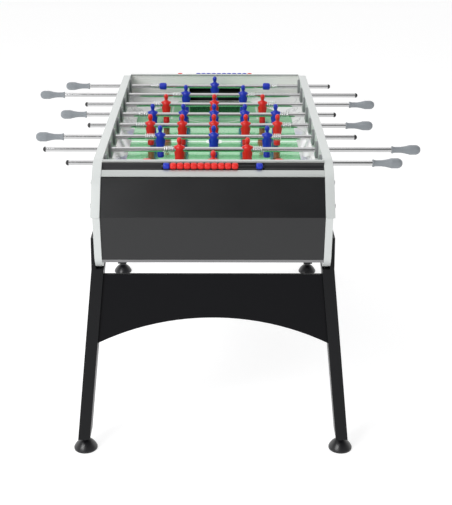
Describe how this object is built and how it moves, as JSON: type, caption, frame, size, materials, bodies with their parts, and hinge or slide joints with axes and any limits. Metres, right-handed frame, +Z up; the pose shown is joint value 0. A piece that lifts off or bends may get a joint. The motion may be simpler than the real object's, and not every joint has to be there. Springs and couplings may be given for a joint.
{
  "type": "foosball table",
  "caption": "Foosball table with a silver and black cabinet on splayed legs, sliding and spinning rods of red and blue players, bead score counters and levelling feet.",
  "frame": {"origin": "on the floor, under the middle of the table", "axes": "+X across the table to the right, +Y along the table towards the far goal, +Z up"},
  "size_m": [1.352, 1.548, 0.94],
  "materials": {
    "silver_board": "satin silver laminate",
    "black_board": "satin black laminate",
    "grey_board": "plain grey board",
    "silver_trim": "satin anodised",
    "black_trim": "black moulded plastic",
    "green_field": "glossy green laminate with white lines",
    "white_moulding": "glossy white moulding",
    "chrome_tube": "polished tube",
    "spring_wire": "bright spring wire",
    "grey_grip": "grey moulded grip",
    "bearing_plastic": "dark grey nylon",
    "red_plastic": "red moulded plastic",
    "blue_plastic": "blue moulded plastic",
    "bolt_steel": "plated steel"
  },
  "bodies": {
    "cabinet": {"upper_side_left": "silver_board", "lower_side_left": "silver_board", "surround_left": "white_moulding", "upper_side_right": "silver_board", "lower_side_right": "silver_board", "surround_right": "white_moulding", "end_wall_near": "silver_board", "score_tray_near": "black_trim", "end_wall_far": "silver_board", "score_tray_far": "black_trim", "end_trims": "silver_trim", "upper_end_panels": "black_board", "lower_end_panels": "black_board", "goal_boxes": "black_trim", "playfield": "green_field", "bottom_board": "grey_board", "score_wires": "bolt_steel", "bearings": "bearing_plastic", "near_legs": "black_board", "far_legs": "black_board", "arch_panels": "black_board", "bolts": "bolt_steel"},
    "blue_goalie_slider": {"blue_goalie_springs": "spring_wire"},
    "blue_goalie_spinner": {"blue_goalie_rod": "chrome_tube", "blue_goalie_grip": "grey_grip", "blue_goalie_players": "blue_plastic"},
    "blue_two_slider": {"blue_two_springs": "spring_wire"},
    "blue_two_spinner": {"blue_two_rod": "chrome_tube", "blue_two_grip": "grey_grip", "blue_two_players": "blue_plastic"},
    "red_three_slider": {"red_three_springs": "spring_wire"},
    "red_three_spinner": {"red_three_rod": "chrome_tube", "red_three_grip": "grey_grip", "red_three_players": "red_plastic"},
    "blue_five_slider": {"blue_five_springs": "spring_wire"},
    "blue_five_spinner": {"blue_five_rod": "chrome_tube", "blue_five_grip": "grey_grip", "blue_five_players": "blue_plastic"},
    "red_five_slider": {"red_five_springs": "spring_wire"},
    "red_five_spinner": {"red_five_rod": "chrome_tube", "red_five_grip": "grey_grip", "red_five_players": "red_plastic"},
    "blue_three_slider": {"blue_three_springs": "spring_wire"},
    "blue_three_spinner": {"blue_three_rod": "chrome_tube", "blue_three_grip": "grey_grip", "blue_three_players": "blue_plastic"},
    "red_two_slider": {"red_two_springs": "spring_wire"},
    "red_two_spinner": {"red_two_rod": "chrome_tube", "red_two_grip": "grey_grip", "red_two_players": "red_plastic"},
    "red_goalie_slider": {"red_goalie_springs": "spring_wire"},
    "red_goalie_spinner": {"red_goalie_rod": "chrome_tube", "red_goalie_grip": "grey_grip", "red_goalie_players": "red_plastic"},
    "counter_near": {"score_beads_near": "red_plastic"},
    "counter_far": {"score_beads_far": "blue_plastic"},
    "foot_near_left": {"foot_near_left": "black_trim"},
    "foot_near_right": {"foot_near_right": "black_trim"},
    "foot_far_left": {"foot_far_left": "black_trim"},
    "foot_far_right": {"foot_far_right": "black_trim"}
  },
  "joints": [
    {"name": "blue_goalie_slide", "type": "slide", "parent": "cabinet", "child": "blue_goalie_slider", "axis": [1, 0, 0], "range_m": [-0.077, 0.077]},
    {"name": "blue_goalie_spin", "type": "hinge", "parent": "blue_goalie_slider", "child": "blue_goalie_spinner", "pos_m": [0, 0.5145, 0.9], "axis": [1, 0, 0], "continuous": true},
    {"name": "blue_two_slide", "type": "slide", "parent": "cabinet", "child": "blue_two_slider", "axis": [1, 0, 0], "range_m": [-0.17, 0.17]},
    {"name": "blue_two_spin", "type": "hinge", "parent": "blue_two_slider", "child": "blue_two_spinner", "pos_m": [0, 0.3675, 0.9], "axis": [1, 0, 0], "continuous": true},
    {"name": "red_three_slide", "type": "slide", "parent": "cabinet", "child": "red_three_slider", "axis": [1, 0, 0], "range_m": [-0.1, 0.1]},
    {"name": "red_three_spin", "type": "hinge", "parent": "red_three_slider", "child": "red_three_spinner", "pos_m": [0, 0.2205, 0.9], "axis": [1, 0, 0], "continuous": true},
    {"name": "blue_five_slide", "type": "slide", "parent": "cabinet", "child": "blue_five_slider", "axis": [1, 0, 0], "range_m": [-0.058, 0.058]},
    {"name": "blue_five_spin", "type": "hinge", "parent": "blue_five_slider", "child": "blue_five_spinner", "pos_m": [0, 0.0735, 0.9], "axis": [1, 0, 0], "continuous": true},
    {"name": "red_five_slide", "type": "slide", "parent": "cabinet", "child": "red_five_slider", "axis": [1, 0, 0], "range_m": [-0.058, 0.058]},
    {"name": "red_five_spin", "type": "hinge", "parent": "red_five_slider", "child": "red_five_spinner", "pos_m": [0, -0.0735, 0.9], "axis": [1, 0, 0], "continuous": true},
    {"name": "blue_three_slide", "type": "slide", "parent": "cabinet", "child": "blue_three_slider", "axis": [1, 0, 0], "range_m": [-0.1, 0.1]},
    {"name": "blue_three_spin", "type": "hinge", "parent": "blue_three_slider", "child": "blue_three_spinner", "pos_m": [0, -0.2205, 0.9], "axis": [1, 0, 0], "continuous": true},
    {"name": "red_two_slide", "type": "slide", "parent": "cabinet", "child": "red_two_slider", "axis": [1, 0, 0], "range_m": [-0.17, 0.17]},
    {"name": "red_two_spin", "type": "hinge", "parent": "red_two_slider", "child": "red_two_spinner", "pos_m": [0, -0.3675, 0.9], "axis": [1, 0, 0], "continuous": true},
    {"name": "red_goalie_slide", "type": "slide", "parent": "cabinet", "child": "red_goalie_slider", "axis": [1, 0, 0], "range_m": [-0.077, 0.077]},
    {"name": "red_goalie_spin", "type": "hinge", "parent": "red_goalie_slider", "child": "red_goalie_spinner", "pos_m": [0, -0.5145, 0.9], "axis": [1, 0, 0], "continuous": true},
    {"name": "counter_near_slide", "type": "slide", "parent": "cabinet", "child": "counter_near", "axis": [1, 0, 0], "range_m": [0, 0.0535]},
    {"name": "counter_far_slide", "type": "slide", "parent": "cabinet", "child": "counter_far", "axis": [1, 0, 0], "range_m": [-0.0535, 0]},
    {"name": "foot_near_left_screw", "type": "slide", "parent": "cabinet", "child": "foot_near_left", "axis": [0, 0, 1], "range_m": [-0.015, 0]},
    {"name": "foot_near_right_screw", "type": "slide", "parent": "cabinet", "child": "foot_near_right", "axis": [0, 0, 1], "range_m": [-0.015, 0]},
    {"name": "foot_far_left_screw", "type": "slide", "parent": "cabinet", "child": "foot_far_left", "axis": [0, 0, 1], "range_m": [-0.015, 0]},
    {"name": "foot_far_right_screw", "type": "slide", "parent": "cabinet", "child": "foot_far_right", "axis": [0, 0, 1], "range_m": [-0.015, 0]}
  ]
}
